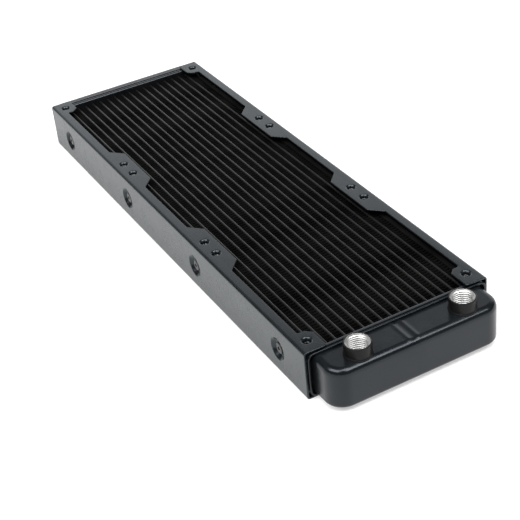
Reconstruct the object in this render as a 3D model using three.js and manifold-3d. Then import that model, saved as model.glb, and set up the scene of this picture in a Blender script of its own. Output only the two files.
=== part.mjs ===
// Liquid cooling radiator for three 120 mm fans: a finned tube core between two
// end tanks, held in a frame of two folded steel side channels.
// Millimetres, +Z up. +X points to the tank with the two hose ports.

import * as THREE from 'three';
import { mergeVertices } from 'three/addons/utils/BufferGeometryUtils.js';
import Module from 'manifold-3d';

// Whole object
const frameWidth = 120;
const frameHeight = 31.5;
const clearance = 0.3; // gap kept between pieces that touch

// Fan pattern: three square four-hole patterns in a row, on both faces
const fanPitch = 120;
const fanCount = 3;
const fanHoleSpacing = 105;
const fanHoleRadius = 2.15;

// Side channels: folded sheet with a flange along the top and the bottom
const channelLength = 364;
const sheet = 1.2;
const bendRadius = 1.8;
const flangeInner = 53.5; // where a plain stretch of flange ends, from the centre line
const tabInner = 45.6; // where a screw tab ends, from the centre line
const middleTabBase = 29.5; // half length of a middle tab at its root
const middleTabTip = 21; // half length of a middle tab at its end
const cornerTabStart = 164.4; // inner side of a corner tab, from the fan pattern's middle
const cornerChamfer = 3.6;

// Rivet dimples pressed into the side channels
const dimpleX = [-151.5, -50, 50, 151.5];
const dimpleOuterRadius = 7.5;
const dimpleFloorRadius = 4.5;
const dimpleDepth = 2.5;
const rivetHoleRadius = 1.95;
const rivetShankRadius = 1.6;
const rivetHeadRadius = 3.5;
const rivetHeadHeight = 1.4;
const mandrelHoleRadius = 1.1;
const mandrelHoleDepth = 0.8;

// Core: flat tubes with folded fins between them
const tubeCount = 17;
const tubePitch = 5.96;
const tubeThickness = 2;
const tubeWall = 0.35;
const tubeStandOut = 2.8; // how far a tube's end reaches past the tube plate's face
const coreBottom = 5;
const coreTop = frameHeight - coreBottom;
const finInset = 0.15; // the fins sit this far inside the tubes' edges
const finSheet = 0.5;
const finFolds = 10;
const coreSideOuter = 56;
const coreSideHoleEnd = 53.4;

// Header trays: tube plates with a rim around the tank's mouth
const portHeaderFace = 178.3; // side of the tube plate towards the core, from the fans' middle
const returnHeaderFace = 176.4;
const headerFace = (portHeaderFace + returnHeaderFace) / 2; // seen from the core's middle
const coreMiddle = (portHeaderFace - returnHeaderFace) / 2;
const headerDepth = 4.8;
const headerHalfWidth = 58.3;
const headerBottom = 1.5;
const headerCorner = 4;

// Tanks
const portTankFront = 204;
const returnTankFront = 191.2;
const tankHalfWidth = 55.5;
const tankBottom = 3;
const tankTop = frameHeight - tankBottom;
const tankWall = 1.5;
const tankEdgeRadius = 2.2;
const portTankCorner = 11.4;
const returnTankCorner = 6;
const dividerThickness = 1.2;
const grooveWidth = 5.5;
const grooveDepth = 0.7;

// Ports: G1/4 sockets in round bosses on the tank's top
const portX = 194.2;
const portSpacing = 68;
const portTop = tankTop + 7.6;
const portRadius = 7.8;
const portFootRadius = 8.3;
const portFootHeight = 1;
const portSpigotRadius = 7.2;
const portSpigotDepth = 5.2; // how far the spigot hangs below the tank's top
const portBoreRadius = 5.72;

const overshoot = 2; // cutting shapes run this far past what they cut
const bendSteps = 3; // facets in a quarter turn of a bend
const tubeSteps = 2;
const holeSteps = 12; // facets round a small hole or rivet
const portSteps = 20;
const tankEdgeSteps = 2;
const tankCornerSteps = 5;

const wasm = await Module();
wasm.setup();

const materials = {
  framePaint: new THREE.MeshStandardMaterial({ color: 0x2b2d30, roughness: 0.45, metalness: 0.3 }),
  tankPaint: new THREE.MeshStandardMaterial({ color: 0x1d1f22, roughness: 0.35, metalness: 0.3 }),
  tubePaint: new THREE.MeshStandardMaterial({ color: 0x26282a, roughness: 0.4, metalness: 0.4 }),
  finPaint: new THREE.MeshStandardMaterial({ color: 0x0c0c0c, roughness: 0.6, metalness: 0.3 }),
  portMetal: new THREE.MeshStandardMaterial({ color: 0x9a9c9e, roughness: 0.3, metalness: 0.9 }),
  rivetMetal: new THREE.MeshStandardMaterial({ color: 0x202122, roughness: 0.4, metalness: 0.6 }),
};

// ---- solids ---------------------------------------------------------------

function toSolid(geometry) {
  geometry.deleteAttribute('normal');
  geometry.deleteAttribute('uv');
  const merged = mergeVertices(geometry, 1e-4);
  const vertProperties = new Float32Array(merged.attributes.position.array);
  const triVerts = new Uint32Array(merged.index.array);
  return new wasm.Manifold(new wasm.Mesh({ numProp: 3, vertProperties, triVerts }));
}

function toGeometry(solid) {
  const mesh = solid.getMesh();
  const geometry = new THREE.BufferGeometry();
  geometry.setAttribute('position', new THREE.BufferAttribute(mesh.vertProperties, 3));
  geometry.setIndex(new THREE.BufferAttribute(mesh.triVerts, 1));
  geometry.computeVertexNormals();
  return geometry;
}

function boxSolid(low, high) {
  const size = high.map((value, axis) => value - low[axis]);
  const middle = high.map((value, axis) => (value + low[axis]) / 2);
  return toSolid(new THREE.BoxGeometry(...size).translate(...middle));
}

// A plan outline in X and Y, raised from one height to another.
function plateSolid(shape, bottom, top) {
  const geometry = new THREE.ExtrudeGeometry(shape, {
    depth: top - bottom,
    bevelEnabled: false,
  });
  return toSolid(geometry.translate(0, 0, bottom));
}

// A section in Y and Z, run along X from one place to another.
function barSolid(section, start, end, steps = bendSteps) {
  const geometry = new THREE.ExtrudeGeometry(section, {
    depth: end - start,
    bevelEnabled: false,
    curveSegments: steps,
  });
  const alongX = new THREE.Matrix4().makeBasis(
    new THREE.Vector3(0, 1, 0),
    new THREE.Vector3(0, 0, 1),
    new THREE.Vector3(1, 0, 0),
  );
  return toSolid(geometry.applyMatrix4(alongX).translate(start, 0, 0));
}

// A profile of [radius, height] pairs turned about the Y axis.
function turnedGeometry(profile, steps) {
  const points = profile.map(([radius, height]) => new THREE.Vector2(radius, height));
  return new THREE.LatheGeometry(points, steps);
}

function roundedRectangle(left, right, bottom, top, radius) {
  const shape = new THREE.Shape();
  shape.moveTo(left + radius, bottom);
  shape.lineTo(right - radius, bottom);
  shape.absarc(right - radius, bottom + radius, radius, -Math.PI / 2, 0, false);
  shape.lineTo(right, top - radius);
  shape.absarc(right - radius, top - radius, radius, 0, Math.PI / 2, false);
  shape.lineTo(left + radius, top);
  shape.absarc(left + radius, top - radius, radius, Math.PI / 2, Math.PI, false);
  shape.lineTo(left, bottom + radius);
  shape.absarc(left + radius, bottom + radius, radius, Math.PI, 1.5 * Math.PI, false);
  return shape;
}

function cutAll(body, tools) {
  return tools.reduce((rest, tool) => rest.subtract(tool), body);
}

// ---- side channels ----------------------------------------------------------

// The C-shaped section of the folded sheet, on the +Y side.
function channelSection() {
  const outer = frameWidth / 2;
  const bendY = outer - bendRadius;
  const upperBend = frameHeight - bendRadius;
  const insideBend = bendRadius - sheet;
  const shape = new THREE.Shape();
  shape.moveTo(tabInner - overshoot, frameHeight);
  shape.lineTo(tabInner - overshoot, frameHeight - sheet);
  shape.lineTo(bendY, frameHeight - sheet);
  shape.absarc(bendY, upperBend, insideBend, Math.PI / 2, 0, true);
  shape.lineTo(outer - sheet, bendRadius);
  shape.absarc(bendY, bendRadius, insideBend, 0, -Math.PI / 2, true);
  shape.lineTo(tabInner - overshoot, sheet);
  shape.lineTo(tabInner - overshoot, 0);
  shape.lineTo(bendY, 0);
  shape.absarc(bendY, bendRadius, bendRadius, -Math.PI / 2, 0, false);
  shape.lineTo(outer, upperBend);
  shape.absarc(bendY, upperBend, bendRadius, 0, Math.PI / 2, false);
  return shape;
}

// The flanges' outline from above: narrow beside the fans, with tabs at their corners.
function flangeOutline() {
  const tabX = fanPitch / 2;
  const end = channelLength / 2;
  const half = [
    [tabX - middleTabBase, flangeInner],
    [tabX - middleTabTip, tabInner],
    [tabX + middleTabTip, tabInner],
    [tabX + middleTabBase, flangeInner],
    [cornerTabStart, flangeInner],
    [cornerTabStart, tabInner + cornerChamfer],
    [cornerTabStart + cornerChamfer, tabInner],
    [end, tabInner],
    [end, frameWidth / 2 + overshoot],
  ];
  const mirrored = half.map(([x, y]) => [-x, y]).reverse();
  return new THREE.Shape([...half, ...mirrored].map(([x, y]) => new THREE.Vector2(x, y)));
}

function fanHolePositions() {
  const positions = [];
  for (let fan = 0; fan < fanCount; fan += 1) {
    const centre = (fan - (fanCount - 1) / 2) * fanPitch;
    positions.push(centre - fanHoleSpacing / 2, centre + fanHoleSpacing / 2);
  }
  return positions;
}

function fanHoleTools() {
  return fanHolePositions().map((x) => {
    const height = frameHeight + 2 * overshoot;
    const hole = new THREE.CylinderGeometry(fanHoleRadius, fanHoleRadius, height, holeSteps);
    hole.rotateX(Math.PI / 2);
    return toSolid(hole.translate(x, fanHoleSpacing / 2, frameHeight / 2));
  });
}

// Places a shape that was turned about Y on the rivet line of the +Y side.
function onRivetLine(profile, x) {
  return toSolid(turnedGeometry(profile, holeSteps).translate(x, 0, frameHeight / 2));
}

function dimpleBump(x) {
  const outer = frameWidth / 2;
  const floorInside = outer - dimpleDepth - sheet;
  const flare = sheet / 2;
  return onRivetLine([
    [0, floorInside],
    [dimpleFloorRadius + flare, floorInside],
    [dimpleOuterRadius + flare, outer - sheet],
    [dimpleOuterRadius + flare, outer - sheet / 2],
    [0, outer - sheet / 2],
  ], x);
}

function dimpleHollow(x) {
  const outer = frameWidth / 2;
  return onRivetLine([
    [0, outer - dimpleDepth],
    [dimpleFloorRadius, outer - dimpleDepth],
    [dimpleOuterRadius, outer],
    [dimpleOuterRadius, outer + overshoot],
    [0, outer + overshoot],
  ], x);
}

function rivetHole(x, end) {
  return onRivetLine([
    [0, end],
    [rivetHoleRadius, end],
    [rivetHoleRadius, frameWidth / 2 + overshoot],
    [0, frameWidth / 2 + overshoot],
  ], x);
}

function sideChannel() {
  const folded = barSolid(channelSection(), -channelLength / 2, channelLength / 2);
  const outline = plateSolid(flangeOutline(), -overshoot, frameHeight + overshoot);
  const trimmed = folded.intersect(outline);
  const bumped = dimpleX.reduce((body, x) => body.add(dimpleBump(x)), trimmed);
  const dished = cutAll(bumped, dimpleX.map(dimpleHollow));
  const throughHoles = dimpleX.map((x) => rivetHole(x, coreSideOuter));
  return toGeometry(cutAll(dished, [...throughHoles, ...fanHoleTools()]));
}

// A blind rivet: round head with the mandrel's hole, shank into the core's side bar.
function rivet() {
  const seat = frameWidth / 2 - dimpleDepth + clearance;
  const crown = seat + rivetHeadHeight;
  const mandrelFloor = crown - mandrelHoleDepth;
  return turnedGeometry([
    [0, coreSideHoleEnd + clearance],
    [rivetShankRadius, coreSideHoleEnd + clearance],
    [rivetShankRadius, seat],
    [rivetHeadRadius, seat],
    [rivetHeadRadius * 0.94, seat + rivetHeadHeight * 0.45],
    [rivetHeadRadius * 0.7, seat + rivetHeadHeight * 0.85],
    [mandrelHoleRadius, crown],
    [mandrelHoleRadius, mandrelFloor],
    [0, mandrelFloor],
  ], holeSteps);
}

// ---- core -------------------------------------------------------------------

function tubeY(index) {
  return (index - (tubeCount - 1) / 2) * tubePitch;
}

// The outline of a flat tube, seen along X, grown or shrunk by an offset.
function tubeOutline(y, offset) {
  const radius = tubeThickness / 2 + offset;
  return roundedRectangle(y - radius, y + radius, coreBottom - offset, coreTop + offset, radius);
}

function flatTube() {
  const end = headerFace + tubeStandOut;
  const reach = end + overshoot;
  const outer = barSolid(tubeOutline(0, 0), -end, end, tubeSteps);
  const inner = barSolid(tubeOutline(0, -tubeWall), -reach, reach, tubeSteps);
  return toGeometry(outer.subtract(inner));
}

// One sheet folded back and forth between two neighbouring tubes.
function finStrip() {
  const half = finSheet / 2;
  const crest = (tubePitch - tubeThickness) / 2 - clearance;
  const reach = headerFace - clearance - half;
  const leftSide = [];
  const rightSide = [];
  for (let leg = 0; leg <= finFolds; leg += 1) {
    const x = -reach + (leg * 2 * reach) / finFolds;
    const up = leg % 2 === 0 ? 1 : -1;
    const start = leg === 0 ? crest : crest - finSheet;
    const end = leg === finFolds ? crest : crest - finSheet;
    const nearSide = [[x - half, -up * start], [x - half, up * crest]];
    const farSide = [[x + half, -up * crest], [x + half, up * end]];
    leftSide.push(...(up > 0 ? nearSide : farSide));
    rightSide.push(...(up > 0 ? farSide : nearSide));
  }
  const points = [...leftSide, ...rightSide.reverse()];
  const outline = new THREE.Shape(points.map(([x, y]) => new THREE.Vector2(x, y)));
  return toGeometry(plateSolid(outline, coreBottom + finInset, coreTop - finInset));
}

// The bar along the outermost fins, with a blind hole behind each dimple.
function coreSide(backFace, frontFace) {
  const inner = tubePitch * tubeCount / 2 + tubePitch / 2 - tubeThickness / 2 + clearance;
  const low = [clearance - backFace, inner, coreBottom];
  const high = [frontFace - clearance, coreSideOuter, coreTop];
  const bar = boxSolid(low, high);
  return toGeometry(cutAll(bar, dimpleX.map((x) => rivetHole(x, coreSideHoleEnd))));
}

// ---- end tanks --------------------------------------------------------------

// The tube plate at the +X end, with a rim standing round the tank's mouth.
function headerTray() {
  const top = frameHeight - headerBottom;
  const end = headerFace + headerDepth;
  const plateEnd = headerFace + sheet;
  const width = headerHalfWidth - sheet;
  const outline = roundedRectangle(
    -headerHalfWidth, headerHalfWidth, headerBottom, top, headerCorner,
  );
  const inside = roundedRectangle(
    -width, width, headerBottom + sheet, top - sheet, headerCorner - sheet,
  );
  const tray = barSolid(outline, headerFace, end);
  const hollow = barSolid(inside, plateEnd, end + overshoot);
  const slots = [];
  for (let index = 0; index < tubeCount; index += 1) {
    const slot = tubeOutline(tubeY(index), clearance);
    slots.push(barSolid(slot, headerFace - overshoot, plateEnd + overshoot, tubeSteps));
  }
  return toGeometry(cutAll(tray, [hollow, ...slots]));
}

// A block with round corners in plan and round upper and lower edges, its mouth cut flat.
function tankBlock(mouth, front, inset, corner) {
  const reach = front - inset;
  const side = tankHalfWidth - inset;
  const radius = corner - inset;
  const edge = Math.max(tankEdgeRadius - inset, tankEdgeRadius / 3);
  const height = tankTop - tankBottom - 2 * inset;
  const shape = new THREE.Shape();
  shape.moveTo(mouth - tankEdgeRadius - overshoot, -side);
  shape.lineTo(reach - radius, -side);
  shape.absarc(reach - radius, radius - side, radius, -Math.PI / 2, 0, false);
  shape.lineTo(reach, side - radius);
  shape.absarc(reach - radius, side - radius, radius, 0, Math.PI / 2, false);
  shape.lineTo(mouth - tankEdgeRadius - overshoot, side);
  const block = new THREE.ExtrudeGeometry(shape, {
    depth: height - 2 * edge,
    bevelThickness: edge,
    bevelSize: edge,
    bevelOffset: -edge,
    bevelSegments: tankEdgeSteps,
    curveSegments: tankCornerSteps,
  });
  const placed = toSolid(block.translate(0, 0, tankBottom + inset + edge));
  const wide = frameWidth / 2;
  return placed.intersect(boxSolid([mouth, -wide, 0], [front + overshoot, wide, frameHeight]));
}

// An open-mouthed tank at the +X end.
function tankShell(face, front, corner) {
  const mouth = face + sheet + clearance;
  const outside = tankBlock(mouth, front, 0, corner);
  return outside.subtract(tankBlock(mouth - overshoot, front, tankWall, corner));
}

// The shallow groove pressed into the port tank's top above its dividing wall.
function dividerGroove() {
  const trough = new THREE.CylinderGeometry(1, 1, portTankFront, holeSteps);
  trough.rotateZ(Math.PI / 2);
  trough.scale(1, grooveWidth / 2, grooveDepth);
  return toSolid(trough.translate(portTankFront - tankEdgeRadius, 0, tankTop));
}

function portTank() {
  const bores = [-1, 1].map((side) => {
    const radius = portSpigotRadius + clearance;
    const hole = new THREE.CylinderGeometry(radius, radius, 3 * tankWall, portSteps);
    hole.rotateX(Math.PI / 2);
    return toSolid(hole.translate(portX, side * portSpacing / 2, tankTop));
  });
  const shell = tankShell(portHeaderFace, portTankFront, portTankCorner);
  return toGeometry(cutAll(shell, [dividerGroove(), ...bores]));
}

// The wall that splits the port tank, beside the middle tube.
function tankDivider() {
  const margin = tankWall + clearance;
  const low = [portHeaderFace + sheet + clearance, -dividerThickness / 2, tankBottom + margin];
  const high = [portTankFront - margin, dividerThickness / 2, tankTop - margin];
  return toGeometry(boxSolid(low, high));
}

// A hose port: boss with a foot ring and a spigot through the tank's top.
function portBoss() {
  const seat = tankTop + clearance;
  const spigotEnd = tankTop - portSpigotDepth;
  const chamfer = portRadius * 0.06;
  const boss = turnedGeometry([
    [portBoreRadius, spigotEnd],
    [portSpigotRadius, spigotEnd],
    [portSpigotRadius, seat],
    [portFootRadius, seat],
    [portRadius, seat + portFootHeight],
    [portRadius, portTop - chamfer],
    [portRadius - chamfer, portTop],
    [portBoreRadius + chamfer, portTop],
    [portBoreRadius, portTop - chamfer],
    [portBoreRadius, spigotEnd],
  ], portSteps);
  return boss.rotateX(Math.PI / 2);
}

// ---- assembly ---------------------------------------------------------------

// Everything is placed from the middle of the fan pattern; the group's offset puts the
// origin midway between the two tanks' fronts.
const assembly = new THREE.Group();
assembly.position.x = (returnTankFront - portTankFront) / 2;

function place(name, geometry, material, x = 0, y = 0, z = 0, turned = false) {
  const mesh = new THREE.Mesh(geometry, material);
  mesh.name = name;
  mesh.position.set(x, y, z);
  mesh.rotation.z = turned ? Math.PI : 0;
  assembly.add(mesh);
}

const channel = sideChannel();
const rivetShape = rivet();
const sides = [['left', false], ['right', true]];
for (const [side, turned] of sides) {
  place(`side_channel_${side}`, channel, materials.framePaint, 0, 0, 0, turned);
  const faces = turned ? [portHeaderFace, returnHeaderFace] : [returnHeaderFace, portHeaderFace];
  place(`core_side_${side}`, coreSide(...faces), materials.tubePaint, 0, 0, 0, turned);
  dimpleX.forEach((x, index) => {
    const name = `rivet_${side}_${index + 1}`;
    place(name, rivetShape, materials.rivetMetal, x, 0, frameHeight / 2, turned);
  });
}

const tube = flatTube();
for (let index = 0; index < tubeCount; index += 1) {
  place(`tube_${index + 1}`, tube, materials.tubePaint, coreMiddle, tubeY(index));
}

const fin = finStrip();
for (let index = 0; index <= tubeCount; index += 1) {
  place(`fin_strip_${index + 1}`, fin, materials.finPaint, coreMiddle, tubeY(index - 0.5));
}

const tray = headerTray();
place('port_header', tray, materials.tankPaint, coreMiddle);
place('return_header', tray, materials.tankPaint, coreMiddle, 0, 0, true);
place('port_tank', portTank(), materials.tankPaint);
place('tank_divider', tankDivider(), materials.tankPaint, 0, -tubePitch / 2);
const returnShell = tankShell(returnHeaderFace, returnTankFront, returnTankCorner);
const returnTank = toGeometry(returnShell);
place('return_tank', returnTank, materials.tankPaint, 0, 0, 0, true);

const boss = portBoss();
place('port_boss_inlet', boss, materials.portMetal, portX, -portSpacing / 2);
place('port_boss_outlet', boss, materials.portMetal, portX, portSpacing / 2);

const radiator = new THREE.Group();
radiator.add(assembly);
export default radiator;
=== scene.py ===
"""The looks of a liquid cooling radiator for three 120 mm fans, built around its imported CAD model.

Lengths are millimetres, and pieces are scaled to metres as they are made. Only the materials' grain,
the floor and the lights are given in metres. Shapes are laid out from the middle of the fan pattern,
CENTRE_X, with +X towards the tank with the ports, +Y to the left and +Z up.
"""

import math

import bmesh
import bpy
import numpy as np
from mathutils import Matrix, Vector
from mathutils.geometry import delaunay_2d_cdt


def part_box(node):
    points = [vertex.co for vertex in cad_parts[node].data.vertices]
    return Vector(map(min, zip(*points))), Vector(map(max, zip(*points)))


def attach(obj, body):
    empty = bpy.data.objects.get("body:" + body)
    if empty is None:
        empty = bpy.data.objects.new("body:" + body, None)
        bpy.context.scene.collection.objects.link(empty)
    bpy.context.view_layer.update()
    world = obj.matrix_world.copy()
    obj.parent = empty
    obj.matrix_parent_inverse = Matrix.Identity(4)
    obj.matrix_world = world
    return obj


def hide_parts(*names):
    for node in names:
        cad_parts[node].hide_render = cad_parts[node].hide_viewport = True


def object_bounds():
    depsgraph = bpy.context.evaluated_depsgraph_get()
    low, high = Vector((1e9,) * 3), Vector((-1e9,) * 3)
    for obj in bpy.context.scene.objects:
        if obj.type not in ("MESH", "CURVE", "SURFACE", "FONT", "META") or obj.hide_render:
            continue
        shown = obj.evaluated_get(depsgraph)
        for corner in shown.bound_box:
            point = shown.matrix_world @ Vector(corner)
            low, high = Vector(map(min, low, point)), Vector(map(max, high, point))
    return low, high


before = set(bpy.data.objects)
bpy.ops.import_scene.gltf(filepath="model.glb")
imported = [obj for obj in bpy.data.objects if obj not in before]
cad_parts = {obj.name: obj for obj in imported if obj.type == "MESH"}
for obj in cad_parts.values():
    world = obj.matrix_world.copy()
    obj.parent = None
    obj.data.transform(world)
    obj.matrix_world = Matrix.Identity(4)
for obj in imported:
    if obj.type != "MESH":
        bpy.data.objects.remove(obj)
cad_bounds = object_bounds()

MM = 0.001
WELD = 2e-7  # metres: points closer than this become one
SLIVER = 1e-7  # metres: shorter edges are taken out
SAME_POINT = 1e-6
AXIS = 0.001  # a row of points on an axis keeps this small radius


def corners(node):
    """Lowest and highest corner of a CAD node, in millimetres."""
    low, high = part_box(node)
    return low / MM, high / MM


# ---- sizes taken from the frame --------------------------------------------------------------

CHANNEL_LOW, CHANNEL_HIGH = corners("side_channel_left")
CENTRE_X = (CHANNEL_LOW.x + CHANNEL_HIGH.x) / 2
CHANNEL_REACH = (CHANNEL_HIGH.x - CHANNEL_LOW.x) / 2
FRAME_HALF = CHANNEL_HIGH.y
FRAME_TOP = CHANNEL_HIGH.z
MID_HEIGHT = FRAME_TOP / 2
TAB_INNER = CHANNEL_LOW.y

TUBES = sorted(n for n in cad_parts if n.startswith("tube_"))
FINS = sorted(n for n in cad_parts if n.startswith("fin_strip_"))
RIVETS = sorted(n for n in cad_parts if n.startswith("rivet_"))

# ---- sizes of the folded sheet ---------------------------------------------------------------

SHEET = 1.2
BEND_RADIUS = 1.8  # outside
EDGE_ROUND = 0.35
FLANGE_INNER = 53.5
FAN_PITCH = 120.0
FAN_HOLE_SPACING = 105.0
MIDDLE_TAB_BASE = 29.5
MIDDLE_TAB_TIP = 21.0
CORNER_TAB_START = 164.4
CORNER_CHAMFER = 3.6
OUTLINE_ROUND = 1.6
DIMPLE_OUTER = 7.5
DIMPLE_FLOOR = 4.6
DIMPLE_DEPTH = 2.5
DIMPLE_ROWS = 9
DIMPLE_STEPS = 40
RIVET_HOLE = 1.95
RIVET_HOLE_STEPS = 16
BEND_STEPS = 6
EDGE_STEPS = 3


# ---- mesh tools ------------------------------------------------------------------------------

class Shell:
    """The vertices and faces of one piece while it is being made."""

    def __init__(self):
        self.verts = []
        self.faces = []

    def row(self, points):
        """Adds points and gives back their numbers."""
        start = len(self.verts)
        self.verts.extend(tuple(p) for p in points)
        return list(range(start, len(self.verts)))

    def strip(self, one, other, closed):
        """Joins two rows of equally many points with four-sided faces."""
        count = len(one) if closed else len(one) - 1
        for i in range(count):
            j = (i + 1) % len(one)
            self.faces.append((one[i], one[j], other[j], other[i]))

    def loft(self, rows, closed=True, ring=False):
        """Joins rows of points one after the other, and the last to the first if ring is true."""
        made = [self.row(points) for points in rows]
        for one, other in zip(made, made[1:]):
            self.strip(one, other, closed)
        if ring:
            self.strip(made[-1], made[0], closed)

    def patch(self, points, triangles):
        """Adds a flat area that is already cut into triangles."""
        row = self.row(points)
        self.faces.extend(tuple(row[i] for i in t) for t in triangles)


def finished_mesh(name, shell, smooth_degrees=40):
    """A mesh in metres from a shell, welded, with outward normals and smooth shading."""
    mesh = bpy.data.meshes.new(name)
    mesh.from_pydata([tuple(c * MM for c in v) for v in shell.verts], [], shell.faces)
    bm = bmesh.new()
    bm.from_mesh(mesh)
    bmesh.ops.remove_doubles(bm, verts=bm.verts, dist=WELD)
    bmesh.ops.dissolve_degenerate(bm, edges=bm.edges, dist=SLIVER)
    bmesh.ops.recalc_face_normals(bm, faces=bm.faces)
    bm.to_mesh(mesh)
    bm.free()
    mesh.shade_smooth()
    mesh.set_sharp_from_angle(angle=math.radians(smooth_degrees))
    return mesh


def add_piece(name, mesh, material, nodes, place=(0, 0, 0), weighted=True):
    """Puts a mesh in the scene as the piece that stands for some CAD nodes."""
    if not mesh.materials:
        mesh.materials.append(material)
    obj = bpy.data.objects.new(name, mesh)
    bpy.context.scene.collection.objects.link(obj)
    obj.location = Vector(place) * MM
    if weighted:
        normals = obj.modifiers.new("flat_faces_stay_flat", "WEIGHTED_NORMAL")
        normals.keep_sharp = True
        normals.weight = 100
    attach(obj, "root")
    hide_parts(*nodes)
    return obj


def coned(t, ease=0.2):
    """A step from 0 to 1 that is straight but for a short curve at each end."""
    if t < ease:
        return t * t / (2 * ease * (1 - ease))
    if t > 1 - ease:
        return 1 - coned(1 - t, ease)
    return (t - ease / 2) / (1 - ease)


def circle(x, y, radius, steps):
    """A closed loop of points about (x, y)."""
    angles = [2 * math.pi * i / steps for i in range(steps)]
    return [(x + radius * math.cos(a), y + radius * math.sin(a)) for a in angles]


def inside_odd(points, loops):
    """For each point, whether it lies inside an odd number of the loops."""
    x, y = points[:, 0], points[:, 1]
    odd = np.zeros(len(points), bool)
    for loop in loops:
        a = np.array(loop)
        b = np.roll(a, -1, axis=0)
        for (x1, y1), (x2, y2) in zip(a, b):
            if y1 == y2:
                continue
            spans = (y1 > y) != (y2 > y)
            odd ^= spans & (x < (x2 - x1) * (y - y1) / (y2 - y1) + x1)
    return odd


def filled(loops, rings=(), lines=()):
    """Points and triangles of the area in the first loop and outside the others.

    Rings are closed and lines are open; the triangles keep to the edges of both.
    """
    points, edges = [], []
    for path in [*loops, *rings]:
        start = len(points)
        points.extend(path)
        count = len(path)
        edges.extend((start + i, start + (i + 1) % count) for i in range(count))
    for line in lines:
        start = len(points)
        points.extend(line)
        edges.extend((start + i, start + i + 1) for i in range(len(line) - 1))
    flat = [Vector(p) for p in points]
    out, _, triangles, *_ = delaunay_2d_cdt(flat, edges, [], 0, SAME_POINT)
    out = np.array([tuple(p) for p in out])
    triangles = np.array([t for t in triangles if len(t) == 3])
    kept = inside_odd(out[triangles].mean(axis=1), loops)
    return out.tolist(), triangles[kept].tolist()


STRAIGHT = 0.01  # radians: outlines that turn less than this have no corner
MOST_CUT = 0.45  # a rounded corner takes up to this share of the lines beside it
MITRE_LIMIT = 0.4  # keeps sharp corners from running far out when an outline is offset


def rounded(points, radius, steps=4):
    """The closed outline with each corner turned into a short curve."""
    made = []
    count = len(points)
    for i, point in enumerate(points):
        here = Vector(point)
        before = Vector(points[i - 1]) - here
        after = Vector(points[(i + 1) % count]) - here
        turn = math.pi - before.angle(after)
        if turn < STRAIGHT:
            made.append(point)
            continue
        reach = min(radius * math.tan(turn / 2), before.length * MOST_CUT, after.length * MOST_CUT)
        start = here + before.normalized() * reach
        end = here + after.normalized() * reach
        for k in range(steps + 1):
            t = k / steps
            made.append(tuple(start * (1 - t) ** 2 + here * 2 * t * (1 - t) + end * t * t))
    return made


def area_of(loop):
    """The loop's area, negative if it runs clockwise."""
    a = np.array(loop)
    b = np.roll(a, -1, axis=0)
    return float((a[:, 0] * b[:, 1] - b[:, 0] * a[:, 1]).sum() / 2)


def offset_loop(loop, distance):
    """The closed outline moved outwards by a distance, or inwards by a negative one."""
    sign = 1 if area_of(loop) > 0 else -1
    moved = []
    count = len(loop)
    for i, point in enumerate(loop):
        into = (Vector(point) - Vector(loop[i - 1])).normalized()
        out = (Vector(loop[(i + 1) % count]) - Vector(point)).normalized()
        normal = Vector((into.y + out.y, -into.x - out.x)) * sign
        normal /= max(normal.length_squared / 2, MITRE_LIMIT)
        moved.append(tuple(Vector(point) + normal * distance))
    return moved


THREAD_FADE = 1.5  # depths that a thread would gain in the first pitch from each end
THREAD_SLOPE = 2.5  # depths that a flank would climb in one pitch
THREAD_CREST = 1.25  # above 1, so that crests are flat


def thread_rows(major, minor, pitch, top, bottom, steps, per_turn):
    """Rows of (dx, dy, height) for the wall of a threaded hole, from its top down."""
    rows = []
    count = max(2, round((top - bottom) / pitch * per_turn))
    for row in range(count + 1):
        height = top + (bottom - top) * row / count
        fade = min(1.0, (top - height) / pitch * THREAD_FADE,
                   (height - bottom) / pitch * THREAD_FADE)
        points = []
        for i in range(steps):
            turn = i / steps
            phase = (height / pitch + turn) % 1.0
            ridge = min(1.0, max(0.0, THREAD_CREST - THREAD_SLOPE * abs(phase - 0.5)))
            radius = major - (major - minor) * ridge * fade
            angle = 2 * math.pi * turn
            points.append((radius * math.cos(angle), radius * math.sin(angle), height))
        rows.append(points)
    return rows


def turned_rows(profile, steps):
    """Rows of (dx, dy, height) for a profile of (radius, height) turned about an axis."""
    return [[(x, y, height) for x, y in circle(0, 0, radius, steps)] for radius, height in profile]


# ---- materials -------------------------------------------------------------------------------

CLOUD_SCALE = 45.0  # lumps of colour per metre
PATCH_SCALE = 160.0  # lumps of gloss


def node(tree, kind, **values):
    """A shader node with its sockets, or else its settings, given by name."""
    made = tree.nodes.new(kind)
    for name, value in values.items():
        if name in made.inputs:
            made.inputs[name].default_value = value
        else:
            setattr(made, name, value)
    return made


def noise(tree, coords, scale, detail, rough=0.5):
    """A cloudy value about 0.5; scale is in lumps per metre."""
    made = node(tree, "ShaderNodeTexNoise", Scale=scale, Detail=detail, Roughness=rough)
    tree.links.new(coords, made.inputs["Vector"])
    return made.outputs["Fac"]


def spread(tree, source, low, high, start=0.35, end=0.65):
    """A noise value stretched to run from low to high."""
    made = node(tree, "ShaderNodeMapRange")
    for socket, value in zip(("From Min", "From Max", "To Min", "To Max"), (start, end, low, high)):
        made.inputs[socket].default_value = value
    tree.links.new(source, made.inputs["Value"])
    return made.outputs["Result"]


def blended(tree, factor, dark, light):
    """A colour between dark and light."""
    made = node(tree, "ShaderNodeMix", data_type="RGBA")
    made.inputs["A"].default_value = (*dark, 1)
    made.inputs["B"].default_value = (*light, 1)
    tree.links.new(factor, made.inputs["Factor"])
    return made.outputs["Result"]


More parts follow.
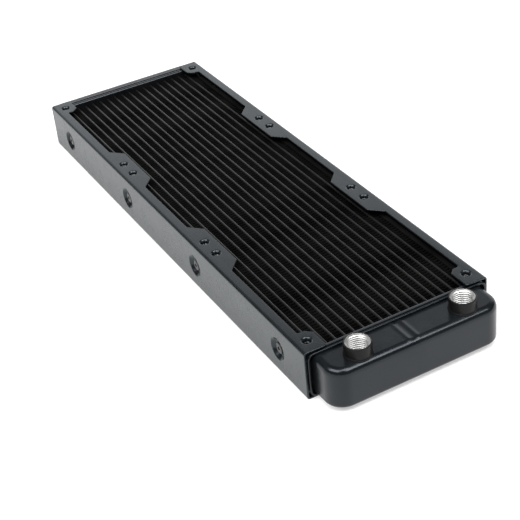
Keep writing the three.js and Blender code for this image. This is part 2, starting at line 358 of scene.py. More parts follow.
def coated_metal(name, dark, light, rough, grain, bump, specular=0.5, metallic=0.0,
                 tint=(1, 1, 1)):
    """Painted or bare metal: cloudy colour, uneven gloss and a fine surface grain.

    rough is the lowest and highest roughness, grain the size of the surface texture in metres and
    bump its height in metres. tint colours the mirrored light.
    """
    material = bpy.data.materials.new(name)
    material.use_nodes = True
    tree = material.node_tree
    shader = tree.nodes["Principled BSDF"]
    coords = tree.nodes.new("ShaderNodeTexCoord").outputs["Object"]
    cloud = noise(tree, coords, CLOUD_SCALE, 4.0)
    fine = noise(tree, coords, 1 / grain, 2.0)
    tree.links.new(blended(tree, spread(tree, cloud, 0, 1), dark, light), shader.inputs["Base Color"])
    patches = noise(tree, coords, PATCH_SCALE, 3.0, 0.6)
    tree.links.new(spread(tree, patches, *rough), shader.inputs["Roughness"])
    relief = node(tree, "ShaderNodeBump", Strength=1.0, Distance=bump)
    tree.links.new(fine, relief.inputs["Height"])
    tree.links.new(relief.outputs["Normal"], shader.inputs["Normal"])
    shader.inputs["Metallic"].default_value = metallic
    shader.inputs["Specular IOR Level"].default_value = specular
    shader.inputs["Specular Tint"].default_value = (*tint, 1)
    return material


FRAME_PAINT = coated_metal(
    "frame_paint", (0.003, 0.0037, 0.004), (0.005, 0.0057, 0.007),
    rough=(0.24, 0.28), grain=0.0007, bump=0.00002, specular=0.5, tint=(0.78, 0.94, 1))
TANK_PAINT = coated_metal(
    "tank_paint", (0.003, 0.004, 0.005), (0.006, 0.007, 0.008),
    rough=(0.20, 0.25), grain=0.0014, bump=0.00002, specular=0.35, tint=(0.84, 0.92, 1))
TUBE_PAINT = coated_metal(
    "tube_paint", (0.004, 0.004, 0.004), (0.008, 0.008, 0.008),
    rough=(0.26, 0.36), grain=0.0009, bump=0.00003, specular=0.36)
# The fins are painted darker than the tubes and barely mirror: painted shade for the deep core
# between the tubes.
SHADED_FIN_PAINT = coated_metal(
    "fin_paint", (0.0008, 0.0008, 0.0008), (0.0032, 0.0032, 0.003),
    rough=(0.5, 0.7), grain=0.0008, bump=0.00002, specular=0.02)
BARE_METAL = coated_metal(
    "bare_metal", (0.46, 0.46, 0.45), (0.56, 0.56, 0.55),
    rough=(0.38, 0.5), grain=0.0005, bump=0.00001, metallic=1.0)
# The fan screw threads are much darker than the ports' bare metal: partly paint left in the threads,
# partly painted shade deep in the screw holes.
SMEARED_AND_SHADED_THREAD_METAL = coated_metal(
    "thread_metal_smeared_and_shaded", (0.035, 0.035, 0.036), (0.09, 0.09, 0.092),
    rough=(0.24, 0.32), grain=0.0005, bump=0.00001, metallic=1.0)
RIVET_PAINT = coated_metal(
    "rivet_paint", (0.003, 0.003, 0.004), (0.007, 0.007, 0.008),
    rough=(0.20, 0.28), grain=0.0005, bump=0.00002, specular=0.35)
BOSS_PAINT = coated_metal(
    "boss_paint", (0.004, 0.004, 0.004), (0.008, 0.0075, 0.007),
    rough=(0.34, 0.42), grain=0.0005, bump=0.00002, specular=0.17)


# ---- side channels ---------------------------------------------------------------------------

MID_RADIUS = BEND_RADIUS - SHEET / 2
WALL_END = MID_HEIGHT - BEND_RADIUS
BEND_LENGTH = MID_RADIUS * math.pi / 2
BEND_END = WALL_END + BEND_LENGTH
BEND_Y = FRAME_HALF - BEND_RADIUS
DIMPLES = [corners(n) for n in RIVETS if "left" in n]
DIMPLE_X = [(low.x + high.x) / 2 - CENTRE_X for low, high in DIMPLES]


def across(y):
    """How far round the sheet, from the wall's middle, a place on the flange lies."""
    return BEND_END + BEND_Y - y


def dimple_depth(x, s):
    """How far the wall is pressed in at a place on the flat sheet."""
    if abs(s) > WALL_END:
        return 0.0
    r = min(math.hypot(x - place, s) for place in DIMPLE_X)
    t = min(1.0, max(0.0, (r - DIMPLE_FLOOR) / (DIMPLE_OUTER - DIMPLE_FLOOR)))
    return DIMPLE_DEPTH * (1 - coned(t))


def folded(x, s, h):
    """Where a point of the flat sheet lies once it is folded and its dimples are pressed.

    x runs along the channel, s round the section from the wall's middle, and h above the sheet's
    middle.
    """
    side = 1 if s >= 0 else -1
    run = abs(s)
    if run <= WALL_END:
        y = FRAME_HALF - SHEET / 2 + h - dimple_depth(x, s)
        return x, y, MID_HEIGHT + s
    if run <= BEND_END:
        angle = (run - WALL_END) / MID_RADIUS
        radius = MID_RADIUS + h
        rise = WALL_END + radius * math.sin(angle)
        return x, BEND_Y + radius * math.cos(angle), MID_HEIGHT + side * rise
    return x, BEND_Y - (run - BEND_END), MID_HEIGHT + side * (FRAME_TOP / 2 - SHEET / 2 + h)


def flange_edge():
    """The inner edge of a flange from the middle to the +X end, as (x, s)."""
    tab = FAN_PITCH / 2
    plan = [
        (tab - MIDDLE_TAB_BASE, FLANGE_INNER),
        (tab - MIDDLE_TAB_TIP, TAB_INNER),
        (tab + MIDDLE_TAB_TIP, TAB_INNER),
        (tab + MIDDLE_TAB_BASE, FLANGE_INNER),
        (CORNER_TAB_START, FLANGE_INNER),
        (CORNER_TAB_START, TAB_INNER + CORNER_CHAMFER),
        (CORNER_TAB_START + CORNER_CHAMFER, TAB_INNER),
        (CHANNEL_REACH, TAB_INNER),
    ]
    return [(x, across(y)) for x, y in plan]


def bend_lines():
    """Places round the section where the sheet's two bends have an edge."""
    places = [WALL_END + BEND_LENGTH * k / BEND_STEPS for k in range(BEND_STEPS + 1)]
    return [-s for s in reversed(places)] + places


def channel_outline():
    """The flat sheet's outline, anticlockwise, with a point on each end for every bend line."""
    edge = flange_edge()
    top = [(-x, s) for x, s in reversed(edge)] + edge
    bottom = [(x, -s) for x, s in top]
    right = [(CHANNEL_REACH, s) for s in bend_lines()]
    left = [(-x, s) for x, s in reversed(right)]
    return rounded([*bottom, *right, *reversed(top), *left], OUTLINE_ROUND)


def rolled_edge():
    """(outwards, above) pairs that take a cut edge from the sheet's upper face to its lower one."""
    upper = []
    for k in range(EDGE_STEPS + 1):
        angle = math.pi / 2 * k / EDGE_STEPS
        upper.append((EDGE_ROUND * (math.sin(angle) - 1),
                      SHEET / 2 - EDGE_ROUND * (1 - math.cos(angle))))
    return upper + [(out, -above) for out, above in reversed(upper)]


FAN_HOLE_LOOP = 3.6  # where the flat sheet begins to dip
FAN_HOLE_STEPS = 28
FAN_HOLE_NECK = 2.12
FAN_HOLE_BORE = 2.3
FAN_THREAD_TOP = -1.4  # from the sheet's middle
FAN_THREAD_END = -3.3
FAN_THREAD_MAJOR = 2.15
FAN_THREAD_MINOR = 1.84
FAN_THREAD_PITCH = 0.7
FAN_THREAD_ROWS = 6  # in each turn
FAN_X = [i * FAN_PITCH + e * FAN_HOLE_SPACING / 2 for i in (-1, 0, 1) for e in (-1, 1)]


def hole_rows(side, x, rows):
    """Rows about a fan screw hole's axis, laid in the folded sheet."""
    middle = side * across(FAN_HOLE_SPACING / 2)
    return [[folded(x + dx, middle + dy, h) for dx, dy, h in row] for row in rows]


def fan_hole_rows():
    """A screw hole: the sheet dips into a collar that stands below it."""
    half = SHEET / 2
    profile = [
        (FAN_HOLE_LOOP, half), (3.28, half - 0.05), (3.0, half - 0.18), (2.76, half - 0.4),
        (2.55, half - 0.68), (2.38, half - 0.95), (2.22, half - 1.2),
        (FAN_HOLE_NECK, FAN_THREAD_TOP + 0.05), (FAN_HOLE_NECK, FAN_THREAD_TOP),
        (FAN_HOLE_BORE, FAN_THREAD_TOP), (FAN_HOLE_BORE, FAN_THREAD_END),
        (2.8, FAN_THREAD_END), (3.0, FAN_THREAD_END + 0.2), (3.05, -1.5), (3.2, -half - 0.25),
        (FAN_HOLE_LOOP, -half),
    ]
    return turned_rows(profile, FAN_HOLE_STEPS)


def fan_thread_rows():
    """The bare metal thread inside the collar, as a ring of its own."""
    skin = FAN_HOLE_BORE - 0.03
    top = FAN_THREAD_TOP - 0.03
    thread = thread_rows(FAN_THREAD_MAJOR, FAN_THREAD_MINOR, FAN_THREAD_PITCH, top - 0.05,
                         FAN_THREAD_END + 0.1, FAN_HOLE_STEPS, FAN_THREAD_ROWS)
    start = turned_rows([(FAN_THREAD_MAJOR, top)], FAN_HOLE_STEPS)
    back = [(FAN_THREAD_MAJOR, FAN_THREAD_END), (skin, FAN_THREAD_END), (skin, top)]
    return start + thread + turned_rows(back, FAN_HOLE_STEPS)


def channel_shell():
    """The +Y side channel, laid out about the fan pattern's middle."""
    shell = Shell()
    outline = channel_outline()
    inset = offset_loop(outline, -EDGE_ROUND)
    hole_s = across(FAN_HOLE_SPACING / 2)
    fan_holes = [circle(x, side * hole_s, FAN_HOLE_LOOP, FAN_HOLE_STEPS)
                 for side in (-1, 1) for x in FAN_X]
    rivet_holes = [circle(x, 0, RIVET_HOLE, RIVET_HOLE_STEPS) for x in DIMPLE_X]
    slope = DIMPLE_OUTER - DIMPLE_FLOOR
    radii = [DIMPLE_FLOOR + slope * k / DIMPLE_ROWS for k in range(DIMPLE_ROWS + 1)]
    radii = [DIMPLE_FLOOR - 0.4, *radii]  # the first ring keeps the dimple's floor flat
    rings = [circle(x, 0, r, DIMPLE_STEPS) for x in DIMPLE_X for r in radii]
    reach = CHANNEL_REACH - EDGE_ROUND
    lines = [[(-reach, s), (reach, s)] for s in bend_lines()]
    points, triangles = filled([inset, *fan_holes, *rivet_holes], rings, lines)
    for h in (SHEET / 2, -SHEET / 2):
        shell.patch([folded(x, s, h) for x, s in points], triangles)
    edge = rolled_edge()
    loops = [offset_loop(outline, out) for out, _ in edge]
    shell.loft([[folded(x, s, h) for x, s in loop] for loop, (_, h) in zip(loops, edge)])
    for side in (-1, 1):
        for x in FAN_X:
            shell.loft(hole_rows(side, x, fan_hole_rows()))
    for hole in rivet_holes:
        shell.loft([[folded(x, s, h) for x, s in hole] for h in (SHEET / 2, -SHEET / 2)])
    return shell


def thread_shell():
    """Every fan screw thread of the +Y side channel."""
    shell = Shell()
    for side in (-1, 1):
        for x in FAN_X:
            shell.loft(hole_rows(side, x, fan_thread_rows()), ring=True)
    return shell


def turned_round(points, turned):
    """Points about the fan pattern's middle, set in place, or turned half round first."""
    sign = -1 if turned else 1
    return [(CENTRE_X + sign * x, sign * y, z) for x, y, z in points]


def build_channels():
    """Both channels; the right one is the left one turned half round."""
    for part, shell, material, slot in (("sheet", channel_shell(), FRAME_PAINT, "frame_paint"),
                                        ("threads", thread_shell(), SMEARED_AND_SHADED_THREAD_METAL, "port_metal")):
        laid_out = shell.verts
        for side, is_turned in (("left", False), ("right", True)):
            shell.verts = turned_round(laid_out, is_turned)
            name = f"side_channel_{side}"
            mesh = finished_mesh(f"{name}_{part}", shell, 50)
            add_piece(f"{name}_{part}", mesh, material, [name])


# ---- rivets ----------------------------------------------------------------------------------

RIVET_HEAD = 3.5
RIVET_STEPS = 36


def build_rivets():
    """Blind rivets: a low dome with the mandrel's broken end sunk in its middle."""
    low, high = corners(RIVETS[0])
    tall = high.y - low.y
    head = RIVET_HEAD
    profile = [
        (AXIS, 0), (1.35, 0), (1.6, 0.25), (1.6, tall - 1.8), (1.75, tall - 1.65),
        (head - 0.15, tall - 1.65), (head, tall - 1.5), (head, tall - 0.62),
        (head - 0.1, tall - 0.38), (head - 0.32, tall - 0.2), (head * 0.7, tall - 0.06),
        (1.45, tall), (1.2, tall - 0.06), (1.08, tall - 0.2), (1.05, tall - 0.62),
        (0.9, tall - 0.66), (0.7, tall - 0.56), (0.35, tall - 0.52), (AXIS, tall - 0.51),
    ]
    shell = Shell()
    rows = turned_rows(profile, RIVET_STEPS)
    shell.loft([[(x, height, y) for x, y, height in row] for row in rows])
    mesh = finished_mesh("rivet", shell, 60)
    for name in RIVETS:
        low, high = corners(name)
        at = ((low.x + high.x) / 2, low.y, (low.z + high.z) / 2)
        piece = add_piece(f"{name}_head", mesh, RIVET_PAINT, [name], at)
        if high.y < 0:
            piece.matrix_world = Matrix.Translation(
                Vector((at[0], high.y, at[2])) * MM) @ Matrix.Rotation(math.pi, 4, "Z")


# ---- core ------------------------------------------------------------------------------------

TUBE_LOW, TUBE_HIGH = corners(TUBES[0])
TUBE_HALF = (TUBE_HIGH.y - TUBE_LOW.y) / 2
TUBE_WALL = 0.35
TUBE_BEVEL = 0.12
NOSE_RISE = 1.5
NOSE_STEPS = 8


def tube_loop(y, grow):
    """The section of a flat tube with narrow rounded noses, as (y, z) pairs."""
    radius = TUBE_HALF + grow
    rise = NOSE_RISE + grow
    low = TUBE_LOW.z + NOSE_RISE
    high = TUBE_HIGH.z - NOSE_RISE
    angles = [math.pi * k / NOSE_STEPS for k in range(NOSE_STEPS + 1)]
    upper = [(y + radius * math.cos(a), high + rise * math.sin(a)) for a in angles]
    lower = [(y - radius * math.cos(a), low - rise * math.sin(a)) for a in angles]
    return upper + lower


def build_tubes():
    """Hollow flat tubes, all from one mesh laid out about y = 0."""
    shell = Shell()
    rows = []
    for grow, x in ((-TUBE_BEVEL, TUBE_HIGH.x), (0, TUBE_HIGH.x - TUBE_BEVEL),
                    (0, TUBE_LOW.x + TUBE_BEVEL), (-TUBE_BEVEL, TUBE_LOW.x),
                    (-TUBE_WALL, TUBE_LOW.x), (-TUBE_WALL, TUBE_HIGH.x)):
        rows.append([(x, y, z) for y, z in tube_loop(0, grow)])
    shell.loft(rows, ring=True)
    mesh = finished_mesh("flat_tube", shell, 40)
    for name in TUBES:
        low, high = corners(name)
        place = (0, (low.y + high.y) / 2, 0)
        add_piece(f"{name}_flat", mesh, TUBE_PAINT, [name], place)


FIN_LOW, FIN_HIGH = corners(FINS[0])
FIN_SPACING = 1.3
FIN_SHEET = 0.1
FIN_REACH = 0.28  # past the CAD strip on each side, onto the tubes
FIN_FOLD = 0.28  # share of the spacing that a fold's corner takes
FIN_FOLD_RISE = 0.05
FIN_LOUVRED = 0.55  # share of a fin's width
LOUVRES = 5
LOUVRE_LIFT = 0.26
LOUVRE_MARGIN = 1.0
LOUVRE_SLIT = 0.12


def louvre_stations():
    """(height, offset) pairs down a fin: flat margins, with tilted slats between them."""
    tall = FIN_HIGH.z - FIN_LOW.z
    pitch = (tall - 2 * LOUVRE_MARGIN) / LOUVRES
    stations = [(0, 0)]
    for k in range(LOUVRES):
        start = LOUVRE_MARGIN + k * pitch
        stations.append((start + LOUVRE_SLIT, -LOUVRE_LIFT))
        stations.append((start + pitch - LOUVRE_SLIT, LOUVRE_LIFT))
    stations.append((tall, 0))
    return [(FIN_LOW.z + height, lift) for height, lift in stations]


def fin_shell():
    """One serpentine strip, folded across the gap between two tubes, about y = 0."""
    gap = (FIN_HIGH.y - FIN_LOW.y) / 2 + FIN_REACH
    legs = round((FIN_HIGH.x - FIN_LOW.x) / FIN_SPACING)
    spacing = (FIN_HIGH.x - FIN_LOW.x - 2 * FIN_SHEET) / legs
    corner = spacing * FIN_FOLD
    path = []
    for leg in range(legs):
        x = FIN_LOW.x + FIN_SHEET + (leg + 0.5) * spacing
        up = 1 if leg % 2 == 0 else -1
        if leg:
            path.append((x - spacing + corner * 1.6, -up * gap, 0))
            path.append((x - corner, -up * (gap - FIN_FOLD_RISE), 0))
        path.append((x, -up * gap * FIN_LOUVRED, up))
        path.append((x, up * gap * FIN_LOUVRED, up))
    shell = Shell()
    rows = [[(x + lift * slat, y, z) for x, y, slat in path] for z, lift in louvre_stations()]
    shell.loft(rows, closed=False)
    return shell


def build_fins():
    """Fin strips of real thickness, all from one mesh laid out about y = 0."""
    mesh = finished_mesh("fin_strip", fin_shell(), 60)
    bm = bmesh.new()
    bm.from_mesh(mesh)
    bmesh.ops.solidify(bm, geom=bm.faces[:], thickness=FIN_SHEET * MM)
    bm.to_mesh(mesh)
    bm.free()
    for name in FINS:
        low, high = corners(name)
        place = (0, (low.y + high.y) / 2, 0)
        add_piece(f"{name}_louvred", mesh, SHADED_FIN_PAINT, [name], place, weighted=False)


EASED_EDGE = 0.25


def dress_cad_nodes():
    """The flat bars and the dividing wall keep their CAD shape, with eased edges."""
    for name, material in (("core_side_left", TUBE_PAINT), ("core_side_right", TUBE_PAINT),
                           ("tank_divider", TANK_PAINT)):
        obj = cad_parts[name]
        obj.data.materials.clear()
        obj.data.materials.append(material)
        bevel = obj.modifiers.new("eased_edges", "BEVEL")
        bevel.width = EASED_EDGE * MM
        bevel.segments = 2
        bevel.limit_method = "ANGLE"


# ---- header trays ----------------------------------------------------------------------------

TRAY_LOW, TRAY_HIGH = corners("port_header")
PORT_FACE = TRAY_LOW.x - CENTRE_X
RETURN_FACE = CENTRE_X - corners("return_header")[1].x
TRAY_CORNER = 4.0
TRAY_LEAST_CORNER = 0.4
TRAY_CORNER_STEPS = 8
TRAY_BEND = 1.3
TRAY_FILLET = 0.5
SLOT_CLEARANCE = 0.04
LIP_GROOVE = ((2.3, 0), (2.1, 0.8), (1.0, 0.8), (0.8, 0))  # from the rim's end, depth


def tray_loop(inset):
    """The tray's rounded outline moved inwards, as (y, z) pairs."""
    radius = max(TRAY_CORNER - inset, TRAY_LEAST_CORNER)
    half = TRAY_HIGH.y - inset
    low = TRAY_LOW.z + inset
    high = TRAY_HIGH.z - inset
    loop = []
    for y, z, start in ((half - radius, high - radius, 0), (radius - half, high - radius, 1),
                        (radius - half, low + radius, 2), (half - radius, low + radius, 3)):
        for k in range(TRAY_CORNER_STEPS + 1):
            angle = (start + k / TRAY_CORNER_STEPS) * math.pi / 2
            loop.append((y + radius * math.cos(angle), z + radius * math.sin(angle)))
    return loop


def quarter(steps=4):
    """Angles from 0 to a right angle."""
    return [math.pi / 2 * k / steps for k in range(steps + 1)]


def tray_shell():
    """The +X header tray: a plate slotted for the tubes, bent up into a rim."""
    face = PORT_FACE
    end = TRAY_HIGH.x - CENTRE_X
    inside = face + SHEET
    rows = [(TRAY_BEND * (1 - math.sin(a)), face + TRAY_BEND * (1 - math.cos(a)))
            for a in quarter()]
    rows += [(depth, end - from_end) for from_end, depth in LIP_GROOVE]
    rows += [(EDGE_ROUND * (1 - math.cos(a)), end - EDGE_ROUND * (1 - math.sin(a)))
             for a in quarter(3)]
    rows += [(SHEET - EDGE_ROUND * (1 - math.sin(a)), end - EDGE_ROUND * (1 - math.cos(a)))
             for a in quarter(3)]
    rows += [(SHEET + TRAY_FILLET * (1 - math.cos(a)), inside + TRAY_FILLET * (1 - math.sin(a)))
             for a in quarter(3)]
    shell = Shell()
    shell.loft([[(x, y, z) for y, z in tray_loop(inset)] for inset, x in rows])
    middles = [sum(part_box(n)[i].y for i in (0, 1)) / 2 / MM for n in TUBES]
    slots = [tube_loop(y, SLOT_CLEARANCE) for y in middles]
    for inset, x in (rows[0], rows[-1]):
        points, triangles = filled([tray_loop(inset), *slots])
        shell.patch([(x, y, z) for y, z in points], triangles)
    for slot in slots:
        shell.loft([[(x, y, z) for y, z in slot] for x in (face, inside)])
    return shell


def build_trays():
    """Both trays; the return tray is turned half round and set at its own distance."""
    shell = tray_shell()
    laid_out = shell.verts
    for name, is_turned in (("port_header", False), ("return_header", True)):
        shift = RETURN_FACE - PORT_FACE if is_turned else 0
        moved = [(x + shift, y, z) for x, y, z in laid_out]
        shell.verts = turned_round(moved, is_turned)
        mesh = finished_mesh(f"{name}_tray", shell, 45)
        add_piece(f"{name}_tray", mesh, TANK_PAINT, [name])


# ---- tanks -----------------------------------------------------------------------------------

TANK_WALL = 1.5
CUTTER_STEPS = 48
TANK_SMOOTH_DEGREES = 40
BEAD_ARCS = ((5.5, 90, 57), (3.0, 57, 27), (5.0, 27, 0))  # radius, tilt in degrees from, to
BEAD_STEPS = 6  # in each arc
LOWER_RADIUS = 2.2
LOWER_STEPS = 6
PLATEAU_EDGE = 0.5  # narrow flat rows inside the bead
PLATEAU_EDGE_ROWS = 8
PLATEAU_SHARES = (0, 0.15, 0.4, 0.7, 1)  # of the way from the bead to the mouth
WALL_ROWS = 5
TANK_CORNER_STEPS = 12
TANK_LEAST_CORNER = 0.3
RIDGE_CENTRE = -2.9
RIDGE_PLACE = 2.8
RIDGE_WIDTH = 1.3
RIDGE_HEIGHT = 0.22
RIDGE_MARGIN = 1.0  # no ridge this close to the tank's front
RIDGE_RISE = 4.0  # then the ridges grow to full height over this length
DIP_WIDTH = 1.6
DIP_DEPTH = 0.1
FINE_HALF = 9.0  # half the width about the middle with close rows, for the ridges
FINE_STEP = 0.3
COARSE_STEP = 8  # beyond them
COARSE_START = 13
COARSE_MARGIN = 14  # kept clear at each side of the front, for the corner


def tank_path(mouth, front, half, corner, inset):
    """The tank's outline from one side of its mouth round the front to the other, as (x, y)."""
    radius = max(corner - inset, TANK_LEAST_CORNER)
    path = [(mouth, inset - half)]
    for k in range(TANK_CORNER_STEPS + 1):
        angle = -math.pi / 2 * (1 - k / TANK_CORNER_STEPS)
        path.append((front - inset - radius + radius * math.cos(angle),
                     inset + radius - half + radius * math.sin(angle)))
    side = list(path)
    fine = np.arange(-FINE_HALF, FINE_HALF + 0.01, FINE_STEP)
    coarse = range(COARSE_START, int(half) - COARSE_MARGIN, COARSE_STEP)
    for y in [*(-c for c in reversed(coarse)), *fine, *coarse]:
        path.append((front - inset, float(y)))
    path += [(x, -y) for x, y in reversed(side)]
    return path


def ridges(x, y, front):
    """How far the two soft ridges across the port tank, and the dip between them, lift its top."""
    from_centre = y - RIDGE_CENTRE
    lift = -DIP_DEPTH * math.exp(-((from_centre / DIP_WIDTH) ** 2))
    for place in (-RIDGE_PLACE, RIDGE_PLACE):
        lift += RIDGE_HEIGHT * math.exp(-(((from_centre - place) / RIDGE_WIDTH) ** 2))
    return lift * min(1.0, max(0.0, (front - x - RIDGE_MARGIN) / RIDGE_RISE))


def rim_levels():
    """(inset, sink) pairs up the outside of a tank's bead, over it and down to the plateau."""
    spans = [(radius, math.radians(start), math.radians(end)) for radius, start, end in BEAD_ARCS]
    inset = 0.0
    sink = sum(r * (math.cos(end) - math.cos(start)) for r, start, end in spans)
    levels = [(inset, sink)]
    for radius, start, end in spans:
        for k in range(1, BEAD_STEPS + 1):
            turn = start + (end - start) * k / BEAD_STEPS
            levels.append((inset + radius * (math.sin(start) - math.sin(turn)),
                           sink - radius * (math.cos(turn) - math.cos(start))))
        inset, sink = levels[-1]
    for k in range(1, PLATEAU_EDGE_ROWS + 1):
        levels.append((inset + PLATEAU_EDGE * k / PLATEAU_EDGE_ROWS, 0.0))
    return levels


def tank_shell(tank_low, tank_high, mouth, front, corner, is_port_tank):
    """The skin of a tank that opens towards -X."""
    half = tank_high.y
    top, bottom = tank_high.z, tank_low.z
    middle = (top + bottom) / 2
    upper = [(inset, top - sink) for inset, sink in reversed(rim_levels())]
    lower = [(LOWER_RADIUS * (1 - math.sin(turn)), bottom + LOWER_RADIUS * (1 - math.cos(turn)))
             for turn in reversed(quarter(LOWER_STEPS))]
    walls = [(0, z) for z in np.linspace(upper[-1][1], lower[0][1], WALL_ROWS + 2)[1:-1]]

    def raised(x, y, z):
        lift = ridges(x, y, front) if is_port_tank and z > middle else 0
        return x, y, z + lift

    shell = Shell()
    rows = [[raised(x, y, z) for x, y in tank_path(mouth, front, half, corner, inset)]
            for inset, z in [*upper, *walls, *lower]]
    shell.loft(rows, closed=False)
    for inset, z in (upper[0], lower[-1]):
        inner = tank_path(mouth, front, half, corner, inset)[1:-1]
        columns = [[raised(x + (mouth - x) * share, y, z) for x, y in inner]
                   for share in PLATEAU_SHARES]
        shell.loft(columns, closed=False)
    return shell


def hollowed(obj, thickness, cutters):
    """Gives a skin its wall thickness and cuts holes in it, then keeps the result as its mesh."""
    wall = obj.modifiers.new("wall", "SOLIDIFY")
    wall.thickness = thickness * MM
    wall.offset = -1
    for cutter in cutters:
        cut = obj.modifiers.new("hole", "BOOLEAN")
        cut.object = cutter
        cut.operation = "DIFFERENCE"
        cut.solver = "EXACT"
    bpy.context.view_layer.update()
    graph = bpy.context.evaluated_depsgraph_get()
    mesh = bpy.data.meshes.new_from_object(obj.evaluated_get(graph))
    for cutter in cutters:
        bpy.data.objects.remove(cutter)
    bpy.data.objects.remove(obj)
    return mesh


def loose_object(name, mesh):
    """An object in the scene that isn't a piece of the part."""
    obj = bpy.data.objects.new(name, mesh)
    bpy.context.scene.collection.objects.link(obj)
    return obj


def hole_cutter(x, y, z, radius, reach):
    """An upright cylinder that cuts a round hole and is then removed."""
    shell = Shell()
    profile = [(AXIS, -reach), (radius, -reach), (radius, reach), (AXIS, reach)]
    rows = turned_rows(profile, CUTTER_STEPS)
    shell.loft([[(x + dx, y + dy, z + dz) for dx, dy, dz in row] for row in rows])
    return loose_object("cutter", finished_mesh("cutter", shell))


PORTS = ["port_boss_inlet", "port_boss_outlet"]
PORT_CORNER = 11.4
RETURN_CORNER = 6.0
SPIGOT_RADIUS = 7.2
SPIGOT_HOLE = 7.4


def build_tanks():
    """Both tanks as hollow shells, with the port tank's two holes cut."""
    port_places = []
    for name in PORTS:
        low, high = corners(name)
        port_places.append(((low.x + high.x) / 2, (low.y + high.y) / 2))
    for name, is_turned, corner in (("port_tank", False, PORT_CORNER),
                                    ("return_tank", True, RETURN_CORNER)):
        low, high = corners(name)
        ends = (CENTRE_X - high.x, CENTRE_X - low.x) if is_turned else (
            low.x - CENTRE_X, high.x - CENTRE_X)
        shell = tank_shell(low, high, *ends, corner, not is_turned)
        shell.verts = turned_round(shell.verts, is_turned)
        skin_mesh = finished_mesh(f"{name}_skin", shell, TANK_SMOOTH_DEGREES)
        skin = loose_object(f"{name}_skin", skin_mesh)
        cutters = [] if is_turned else [
            hole_cutter(x, y, high.z, SPIGOT_HOLE, 3 * TANK_WALL) for x, y in port_places]
        mesh = hollowed(skin, TANK_WALL, cutters)
        mesh.name = f"{name}_shell"
        mesh.shade_smooth()
        mesh.set_sharp_from_angle(angle=math.radians(TANK_SMOOTH_DEGREES))
        add_piece(f"{name}_shell", mesh, TANK_PAINT, [name])


# ---- hose ports ------------------------------------------------------------------------------

THREAD_MAJOR = 6.58
THREAD_MINOR = 5.72
THREAD_PITCH = 1.337
THREAD_ROWS = 12  # in each turn
PORT_STEPS = 72
PORT_LIP = 0.42  # bare rim between the thread and the mouth's chamfer
BOSS_STEP = 0.5  # the foot ring stands out this far


def build_ports():
    """Painted bosses, each with a bare metal thread as a piece of its own."""
    tank_top = corners("port_tank")[1].z
    for name in PORTS:
        low, high = corners(name)
        x, y = (low.x + high.x) / 2, (low.y + high.y) / 2
        foot = (high.x - low.x) / 2
        wall = foot - BOSS_STEP
        mouth = THREAD_MAJOR + PORT_LIP
        back = mouth - 0.1
        outside = [
            (back, low.z), (SPIGOT_RADIUS, low.z), (SPIGOT_RADIUS, tank_top - 0.05),
            (foot, tank_top - 0.05), (foot, tank_top + 0.35), (foot - 0.12, tank_top + 0.7),
            (wall + 0.12, tank_top + 0.95), (wall, tank_top + 1.3), (wall, high.z - 0.5),
            (wall - 0.08, high.z - 0.22), (wall - 0.2, high.z - 0.08), (wall - 0.4, high.z),
            (mouth + 0.1, high.z), (mouth, high.z - 0.05), (back, high.z - 0.2),
        ]
        shell = Shell()
        rows = turned_rows(outside, PORT_STEPS)
        shell.loft([[(x + dx, y + dy, z) for dx, dy, z in row] for row in rows], ring=True)
        mesh = finished_mesh(f"{name}_body", shell, 50)
        add_piece(f"{name}_body", mesh, BOSS_PAINT, [name])

        chamfer = [(mouth - 0.02, high.z - 0.08), (THREAD_MAJOR + 0.02, high.z - 0.6)]
        thread = thread_rows(THREAD_MAJOR, THREAD_MINOR, THREAD_PITCH, high.z - 0.65, low.z + 0.2,
                             PORT_STEPS, THREAD_ROWS)
        ends = [(THREAD_MAJOR, low.z), (back - 0.02, low.z), (back - 0.02, high.z - 0.12)]
        rows = turned_rows(chamfer, PORT_STEPS) + thread + turned_rows(ends, PORT_STEPS)
        shell = Shell()
        shell.loft([[(x + dx, y + dy, z) for dx, dy, z in row] for row in rows], ring=True)
        mesh = finished_mesh(f"{name}_thread", shell, 60)
        add_piece(f"{name}_thread", mesh, BARE_METAL, [name], weighted=False)


# ---- stage -----------------------------------------------------------------------------------

FLOOR_HALF = 6.0  # metres
FLOOR_GLOW = 0.45


def build_floor():
    """A wide pale floor, lit a little from below like a light table, so that shadows stay faint."""
    mesh = bpy.data.meshes.new("floor")
    bm = bmesh.new()
    bmesh.ops.create_grid(bm, x_segments=4, y_segments=4, size=FLOOR_HALF)
    bm.to_mesh(mesh)
    bm.free()
    floor = loose_object("floor", mesh)
    floor.location.z = cad_bounds[0].z
    paper = coated_metal("floor_paper", (0.52, 0.52, 0.52), (0.54, 0.54, 0.54),
                         rough=(0.85, 0.95), grain=0.02, bump=0.0, specular=0.1)
    shader = paper.node_tree.nodes["Principled BSDF"]
    shader.inputs["Emission Color"].default_value = (1, 1, 1, 1)
    shader.inputs["Emission Strength"].default_value = FLOOR_GLOW
    mesh.materials.append(paper)


def area_light(name, place, size, power):
    """A soft box that points at the middle of the part; place and size are in metres."""
    data = bpy.data.lights.new(name, "AREA")
    data.shape = "RECTANGLE"
    data.size, data.size_y = size
    data.energy = power
    light = bpy.data.objects.new(name, data)
    bpy.context.scene.collection.objects.link(light)
    light.location = place
    light.rotation_euler = (-Vector(place)).to_track_quat("-Z", "Y").to_euler()


BACKDROP_DIRECTION = Vector((-0.9, 0.43, 0)).normalized()
BACKDROP_TOP = (0.71, 0.44)  # height of a direction where it fades out, and where it is full
BACKDROP_SIDES = (0.5, 0.78)  # the same for how squarely a direction faces it
BACKDROP_STRENGTH = 1.5
ROOM_STRENGTH = 0.09
ROOM_COLOUR = (0.97, 0.985, 1, 1)


def ramp(tree, source, start, end):
    """A smooth step of a value from 0 at start to 1 at end."""
    made = node(tree, "ShaderNodeMapRange", interpolation_type="SMOOTHSTEP")
    made.inputs["From Min"].default_value = start
    made.inputs["From Max"].default_value = end
    tree.links.new(source, made.inputs["Value"])
    return made.outputs["Result"]


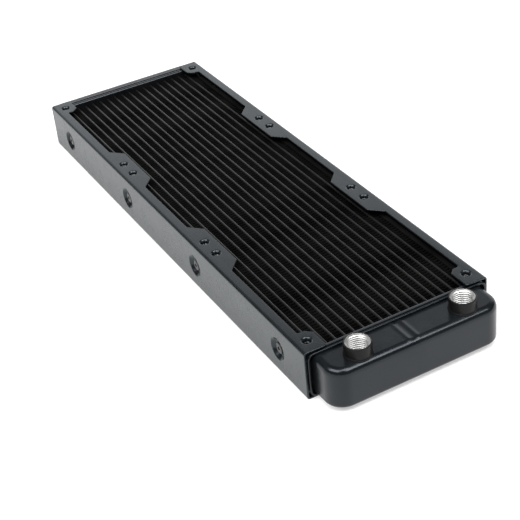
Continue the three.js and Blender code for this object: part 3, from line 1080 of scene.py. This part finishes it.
def build_world():
    """A dim room with a white backdrop that rises behind the radiator."""
    world = bpy.data.worlds.new("studio")
    bpy.context.scene.world = world
    world.use_nodes = True
    tree = world.node_tree
    direction = tree.nodes.new("ShaderNodeTexCoord").outputs["Generated"]
    height = node(tree, "ShaderNodeSeparateXYZ")
    tree.links.new(direction, height.inputs["Vector"])
    facing = node(tree, "ShaderNodeVectorMath", operation="DOT_PRODUCT")
    facing.inputs[1].default_value = BACKDROP_DIRECTION
    tree.links.new(direction, facing.inputs[0])
    low = ramp(tree, height.outputs["Z"], *BACKDROP_TOP)
    behind = ramp(tree, facing.outputs["Value"], *BACKDROP_SIDES)
    both = node(tree, "ShaderNodeMath", operation="MULTIPLY")
    tree.links.new(low, both.inputs[0])
    tree.links.new(behind, both.inputs[1])
    strength = node(tree, "ShaderNodeMapRange")
    strength.inputs["To Min"].default_value = ROOM_STRENGTH
    strength.inputs["To Max"].default_value = BACKDROP_STRENGTH
    tree.links.new(both.outputs["Value"], strength.inputs["Value"])
    tree.links.new(strength.outputs["Result"], tree.nodes["Background"].inputs["Strength"])
    tree.nodes["Background"].inputs["Color"].default_value = ROOM_COLOUR


def build_lights():
    area_light("key", place=(1.02, 0.5, 2.1), size=(1.3, 1.9), power=66)
    area_light("fill", place=(0.36, -1.26, 1.98), size=(2.0, 1.7), power=78)


CAMERA_TARGET = (CENTRE_X + 90.0, -34.9, FRAME_TOP)
CAMERA_AZIMUTH = 64.2
CAMERA_ELEVATION = 33.6
CAMERA_ROLL = -6.24
CAMERA_DISTANCE = 752.2
CAMERA_LENS = 88.68


def build_camera():
    """A long lens from the port end, rolled a little to one side."""
    azimuth, elevation, roll = map(
        math.radians, (CAMERA_AZIMUTH, CAMERA_ELEVATION, CAMERA_ROLL))
    back = Vector((math.sin(azimuth) * math.cos(elevation),
                   -math.cos(azimuth) * math.cos(elevation), math.sin(elevation)))
    level = Vector((math.cos(azimuth), math.sin(azimuth), 0))
    upright = back.cross(level)
    right = level * math.cos(roll) + upright * math.sin(roll)
    up = upright * math.cos(roll) - level * math.sin(roll)
    data = bpy.data.cameras.new("camera")
    data.lens = CAMERA_LENS
    data.sensor_width = 36
    data.clip_start = 0.01
    data.clip_end = 50
    camera = bpy.data.objects.new("camera", data)
    bpy.context.scene.collection.objects.link(camera)
    place = (Vector(CAMERA_TARGET) + back * CAMERA_DISTANCE) * MM
    camera.matrix_world = Matrix.Translation(place) @ Matrix((right, up, back)).transposed().to_4x4()
    bpy.context.scene.camera = camera


build_camera()
build_channels()
build_rivets()
build_tubes()
build_fins()
build_trays()
build_tanks()
build_ports()
dress_cad_nodes()
build_floor()
build_world()
build_lights()
bpy.context.scene.view_settings.view_transform = "Standard"
